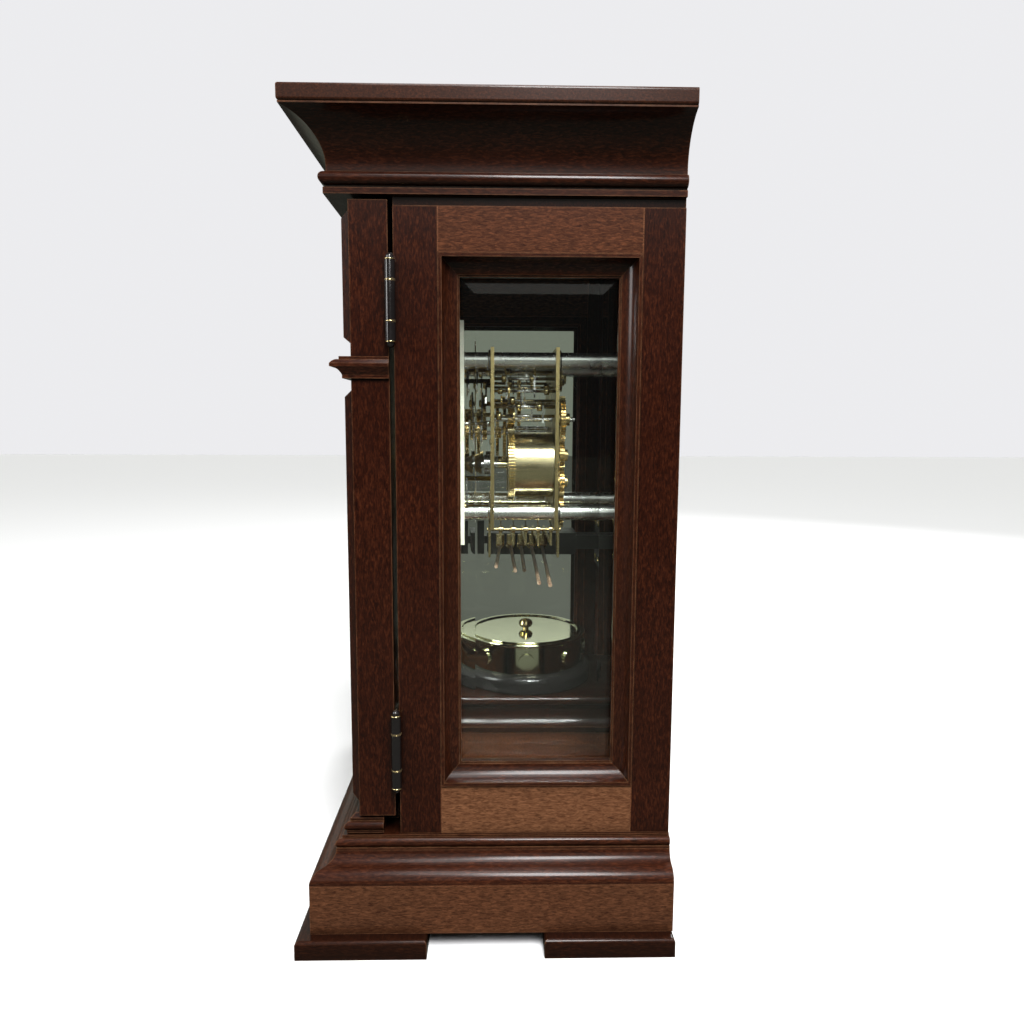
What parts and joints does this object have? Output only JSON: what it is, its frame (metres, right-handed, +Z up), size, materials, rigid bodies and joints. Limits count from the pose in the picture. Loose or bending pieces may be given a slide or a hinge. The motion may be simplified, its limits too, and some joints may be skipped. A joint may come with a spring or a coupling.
{
  "type": "mantel clock",
  "caption": "Glazed wooden mantel clock with a hinged front door, a key-wound chiming movement, rod gong and hammers, and a round keepsake box on a shelf inside.",
  "frame": {"origin": "centre of the footprint, on the surface the feet stand on", "axes": "+Z up, -Y towards the dial and door, +X to the clock's right-hand window as seen from the front"},
  "size_m": [0.3192, 0.2092, 0.457],
  "materials": {
    "case_wood": "dark reddish-brown cherry stain under satin lacquer",
    "inner_wood": "darker stained wood inside the case",
    "window_glass": "clear plate glass with a ground bevel",
    "hinge_black": "antique black over brass",
    "polished_brass": "polished and lacquered",
    "movement_brass": "brushed brass",
    "dial_silver": "silvered ring",
    "hand_black": "black",
    "polished_steel": "polished steel",
    "arbor_steel": "turned steel",
    "cast_black": "black japanned casting",
    "gong_bronze": "dark bronze rods with pale ends",
    "pale_nickel": "mirror-polished nickel with a warm cast",
    "black_lacquer": "black lacquer"
  },
  "bodies": {
    "case": {"top_board": "case_wood", "cornice_moulding": "case_wood", "case_ceiling": "case_wood", "side_stiles": "case_wood", "case_rails": "case_wood", "window_beads": "case_wood", "side_glass": "window_glass", "back_board": "inner_wood", "case_floor": "inner_wood", "display_shelf": "case_wood", "base_moulding": "case_wood", "plinth": "case_wood", "base_core": "case_wood", "feet": "case_wood", "magnetic_catch": "hinge_black", "case_hinge_leaves": "hinge_black", "hinge_pins": "hinge_black", "dial_plate": "polished_brass", "chapter_ring": "dial_silver", "mounting_pillars": "polished_steel", "front_plate": "movement_brass", "rear_plate": "movement_brass", "hammer_frame": "movement_brass", "chime_block": "cast_black", "chime_rods": "gong_bronze", "box_foot": "black_lacquer", "box_bowl": "pale_nickel"},
    "door": {"door_stiles": "case_wood", "door_rails": "case_wood", "pilaster_fields": "case_wood", "waist_mouldings": "case_wood", "door_base_moulding": "case_wood", "door_glass_beads": "case_wood", "door_glass": "window_glass", "door_knob": "polished_brass", "catch_plate": "polished_steel", "door_hinge_leaves": "hinge_black"},
    "minute_arbor": {"centre_arbor": "arbor_steel", "minute_hand": "hand_black"},
    "hour_wheel": {"hour_wheel": "movement_brass", "hour_hand": "hand_black"},
    "minute_wheel": {"minute_wheel": "movement_brass"},
    "time_second_wheel": {"time_second_wheel": "movement_brass"},
    "time_barrel": {"time_barrel": "movement_brass"},
    "third_wheel": {"third_wheel": "movement_brass"},
    "balance_wheel": {"balance_wheel": "movement_brass"},
    "time_winding_arbor": {"time_winding_arbor": "arbor_steel"},
    "chime_winding_arbor": {"chime_winding_arbor": "arbor_steel"},
    "chime_barrel": {"chime_barrel": "movement_brass"},
    "chime_drive_wheel": {"chime_drive_wheel": "movement_brass"},
    "chime_idler_upper": {"chime_idler_upper": "movement_brass"},
    "chime_idler_lower": {"chime_idler_lower": "movement_brass"},
    "chime_drum": {"chime_drum": "movement_brass"},
    "box_lid": {"box_lid": "pale_nickel", "box_knob": "polished_brass"},
    "hammer_1": {"hammer_1": "movement_brass"},
    "hammer_2": {"hammer_2": "movement_brass"},
    "hammer_3": {"hammer_3": "movement_brass"},
    "hammer_4": {"hammer_4": "movement_brass"},
    "hammer_5": {"hammer_5": "movement_brass"}
  },
  "joints": [
    {"name": "door_hinge", "type": "hinge", "parent": "case", "child": "door", "pos_m": [0.1385, -0.05015, 0.24], "axis": [0, 0, 1], "range_deg": [0, 105]},
    {"name": "minute_turn", "type": "hinge", "parent": "case", "child": "minute_arbor", "pos_m": [0, 0.02, 0.2855], "axis": [0, 1, 0], "continuous": true},
    {"name": "hour_turn", "type": "hinge", "parent": "case", "child": "hour_wheel", "pos_m": [0, 0.02, 0.2855], "axis": [0, 1, 0], "continuous": true},
    {"name": "minute_wheel_turn", "type": "hinge", "parent": "case", "child": "minute_wheel", "pos_m": [-0.01273, 0.02, 0.29823], "axis": [0, 1, 0], "continuous": true},
    {"name": "second_wheel_turn", "type": "hinge", "parent": "case", "child": "time_second_wheel", "pos_m": [-0.02291, 0.02, 0.28847], "axis": [0, 1, 0], "continuous": true},
    {"name": "time_barrel_turn", "type": "hinge", "parent": "case", "child": "time_barrel", "pos_m": [-0.035, 0.02, 0.265], "axis": [0, 1, 0], "continuous": true},
    {"name": "third_wheel_turn", "type": "hinge", "parent": "case", "child": "third_wheel", "pos_m": [0.002, 0.02, 0.30719], "axis": [0, 1, 0], "continuous": true},
    {"name": "balance_swing", "type": "hinge", "parent": "case", "child": "balance_wheel", "pos_m": [-0.002, 0.05, 0.323], "axis": [0, 1, 0], "range_deg": [-135, 135], "stiffness_Nm_per_rad": 0.0000002},
    {"name": "time_winding", "type": "hinge", "parent": "case", "child": "time_winding_arbor", "pos_m": [-0.035, 0.02, 0.265], "axis": [0, 1, 0], "continuous": true},
    {"name": "chime_winding", "type": "hinge", "parent": "case", "child": "chime_winding_arbor", "pos_m": [0.035, 0.02, 0.265], "axis": [0, 1, 0], "continuous": true},
    {"name": "chime_barrel_turn", "type": "hinge", "parent": "case", "child": "chime_barrel", "pos_m": [0.035, 0.02, 0.265], "axis": [0, 1, 0], "continuous": true},
    {"name": "chime_drive_turn", "type": "hinge", "parent": "case", "child": "chime_drive_wheel", "pos_m": [0.027, 0.02, 0.29497], "axis": [0, 1, 0], "continuous": true},
    {"name": "idler_upper_turn", "type": "hinge", "parent": "case", "child": "chime_idler_upper", "pos_m": [0.027, 0.02, 0.27097], "axis": [0, 1, 0], "continuous": true},
    {"name": "idler_lower_turn", "type": "hinge", "parent": "case", "child": "chime_idler_lower", "pos_m": [0.027, 0.02, 0.25297], "axis": [0, 1, 0], "continuous": true},
    {"name": "chime_drum_turn", "type": "hinge", "parent": "case", "child": "chime_drum", "pos_m": [0.02, 0.02, 0.23317], "axis": [0, 1, 0], "continuous": true},
    {"name": "lid_lift", "type": "slide", "parent": "case", "child": "box_lid", "axis": [0, 0, 1], "range_m": [0, 0.04]},
    {"name": "hammer_1_swing", "type": "hinge", "parent": "case", "child": "hammer_1", "pos_m": [0.043, 0.0084, 0.2224], "axis": [0, 1, 0], "range_deg": [-1, 8], "stiffness_Nm_per_rad": 0.05},
    {"name": "hammer_2_swing", "type": "hinge", "parent": "case", "child": "hammer_2", "pos_m": [0.043, 0.0167, 0.2224], "axis": [0, 1, 0], "range_deg": [-1, 8], "stiffness_Nm_per_rad": 0.05},
    {"name": "hammer_3_swing", "type": "hinge", "parent": "case", "child": "hammer_3", "pos_m": [0.043, 0.025, 0.2224], "axis": [0, 1, 0], "range_deg": [-1, 8], "stiffness_Nm_per_rad": 0.05},
    {"name": "hammer_4_swing", "type": "hinge", "parent": "case", "child": "hammer_4", "pos_m": [0.043, 0.0333, 0.2224], "axis": [0, 1, 0], "range_deg": [-1, 8], "stiffness_Nm_per_rad": 0.05},
    {"name": "hammer_5_swing", "type": "hinge", "parent": "case", "child": "hammer_5", "pos_m": [0.043, 0.0416, 0.2224], "axis": [0, 1, 0], "range_deg": [-1, 8], "stiffness_Nm_per_rad": 0.05}
  ],
  "couplings": [
    {"joint": "hour_turn", "follows": "minute_turn", "ratio": 0.083333},
    {"joint": "minute_wheel_turn", "follows": "minute_turn", "ratio": -0.33333},
    {"joint": "second_wheel_turn", "follows": "minute_turn", "ratio": -0.16667},
    {"joint": "time_barrel_turn", "follows": "minute_turn", "ratio": 0.02381},
    {"joint": "third_wheel_turn", "follows": "minute_turn", "ratio": -5.6},
    {"joint": "chime_drive_turn", "follows": "chime_barrel_turn", "ratio": -2.9167},
    {"joint": "idler_upper_turn", "follows": "chime_barrel_turn", "ratio": 4.8611},
    {"joint": "idler_lower_turn", "follows": "chime_barrel_turn", "ratio": -4.8611},
    {"joint": "chime_drum_turn", "follows": "chime_barrel_turn", "ratio": 3.6458}
  ]
}
